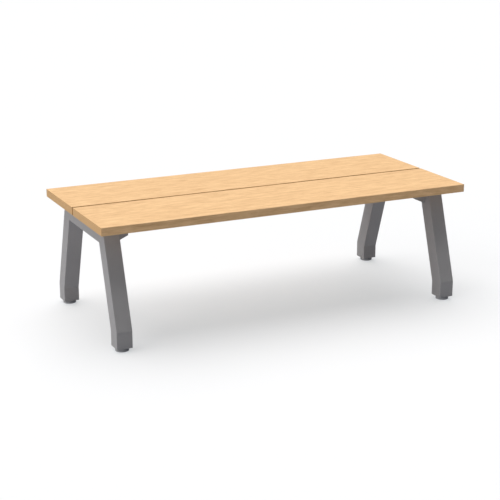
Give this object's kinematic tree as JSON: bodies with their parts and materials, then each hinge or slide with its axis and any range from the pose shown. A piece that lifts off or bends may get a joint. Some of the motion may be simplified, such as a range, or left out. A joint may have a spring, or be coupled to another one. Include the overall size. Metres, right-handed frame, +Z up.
{
  "type": "backless bench",
  "caption": "Backless bench: long flat wooden boards with an open joint between them, on splayed square-tube steel end frames with screw-adjustable levelling glides.",
  "frame": {"origin": "on the floor, under the middle of the seat", "axes": "+X along the bench towards its right end, +Y from front to rear, +Z up"},
  "size_m": [1.5, 0.658, 0.465],
  "materials": {
    "board_wood": "satin clear coat over pale straight-grained wood",
    "frame_powder_coat": "fine-textured mid-grey powder coat",
    "hardware_steel": "bright zinc plate",
    "glide_plastic": "moulded mid-grey nylon"
  },
  "bodies": {
    "bench": {"front_board": "board_wood", "rear_board": "board_wood", "tie_plate": "frame_powder_coat", "tie_screw_1": "hardware_steel", "tie_screw_2": "hardware_steel", "tie_screw_3": "hardware_steel", "tie_screw_4": "hardware_steel", "left_rear_foot": "frame_powder_coat", "left_rear_leg": "frame_powder_coat", "left_top_rail": "frame_powder_coat", "left_front_leg": "frame_powder_coat", "left_front_foot": "frame_powder_coat", "left_mounting_plate": "frame_powder_coat", "left_front_end_plate": "frame_powder_coat", "left_front_gusset": "frame_powder_coat", "left_front_weld_nut": "hardware_steel", "left_front_board_screw_1": "hardware_steel", "left_front_board_screw_2": "hardware_steel", "left_front_board_screw_3": "hardware_steel", "left_rear_end_plate": "frame_powder_coat", "left_rear_gusset": "frame_powder_coat", "left_rear_weld_nut": "hardware_steel", "left_rear_board_screw_1": "hardware_steel", "left_rear_board_screw_2": "hardware_steel", "left_rear_board_screw_3": "hardware_steel", "right_rear_foot": "frame_powder_coat", "right_rear_leg": "frame_powder_coat", "right_top_rail": "frame_powder_coat", "right_front_leg": "frame_powder_coat", "right_front_foot": "frame_powder_coat", "right_mounting_plate": "frame_powder_coat", "right_front_end_plate": "frame_powder_coat", "right_front_gusset": "frame_powder_coat", "right_front_weld_nut": "hardware_steel", "right_front_board_screw_1": "hardware_steel", "right_front_board_screw_2": "hardware_steel", "right_front_board_screw_3": "hardware_steel", "right_rear_end_plate": "frame_powder_coat", "right_rear_gusset": "frame_powder_coat", "right_rear_weld_nut": "hardware_steel", "right_rear_board_screw_1": "hardware_steel", "right_rear_board_screw_2": "hardware_steel", "right_rear_board_screw_3": "hardware_steel"},
    "left_front_stud": {"left_front_glide_stud": "hardware_steel"},
    "left_front_pad": {"left_front_glide_pad": "glide_plastic"},
    "left_rear_stud": {"left_rear_glide_stud": "hardware_steel"},
    "left_rear_pad": {"left_rear_glide_pad": "glide_plastic"},
    "right_front_stud": {"right_front_glide_stud": "hardware_steel"},
    "right_front_pad": {"right_front_glide_pad": "glide_plastic"},
    "right_rear_stud": {"right_rear_glide_stud": "hardware_steel"},
    "right_rear_pad": {"right_rear_glide_pad": "glide_plastic"}
  },
  "joints": [
    {"name": "left_front_glide_travel", "type": "slide", "parent": "bench", "child": "left_front_stud", "axis": [0, 0, -1], "range_m": [0, 0.01]},
    {"name": "left_front_glide_turn", "type": "hinge", "parent": "left_front_stud", "child": "left_front_pad", "pos_m": [-0.68, -0.299, 0], "axis": [0, 0, -1], "range_deg": [0, 2880]},
    {"name": "left_rear_glide_travel", "type": "slide", "parent": "bench", "child": "left_rear_stud", "axis": [0, 0, -1], "range_m": [0, 0.01]},
    {"name": "left_rear_glide_turn", "type": "hinge", "parent": "left_rear_stud", "child": "left_rear_pad", "pos_m": [-0.68, 0.299, 0], "axis": [0, 0, -1], "range_deg": [0, 2880]},
    {"name": "right_front_glide_travel", "type": "slide", "parent": "bench", "child": "right_front_stud", "axis": [0, 0, -1], "range_m": [0, 0.01]},
    {"name": "right_front_glide_turn", "type": "hinge", "parent": "right_front_stud", "child": "right_front_pad", "pos_m": [0.68, -0.299, 0], "axis": [0, 0, -1], "range_deg": [0, 2880]},
    {"name": "right_rear_glide_travel", "type": "slide", "parent": "bench", "child": "right_rear_stud", "axis": [0, 0, -1], "range_m": [0, 0.01]},
    {"name": "right_rear_glide_turn", "type": "hinge", "parent": "right_rear_stud", "child": "right_rear_pad", "pos_m": [0.68, 0.299, 0], "axis": [0, 0, -1], "range_deg": [0, 2880]}
  ],
  "couplings": [
    {"joint": "left_front_glide_travel", "follows": "left_front_glide_turn", "m_per_rad": 0.00019894},
    {"joint": "left_rear_glide_travel", "follows": "left_rear_glide_turn", "m_per_rad": 0.00019894},
    {"joint": "right_front_glide_travel", "follows": "right_front_glide_turn", "m_per_rad": 0.00019894},
    {"joint": "right_rear_glide_travel", "follows": "right_rear_glide_turn", "m_per_rad": 0.00019894}
  ]
}
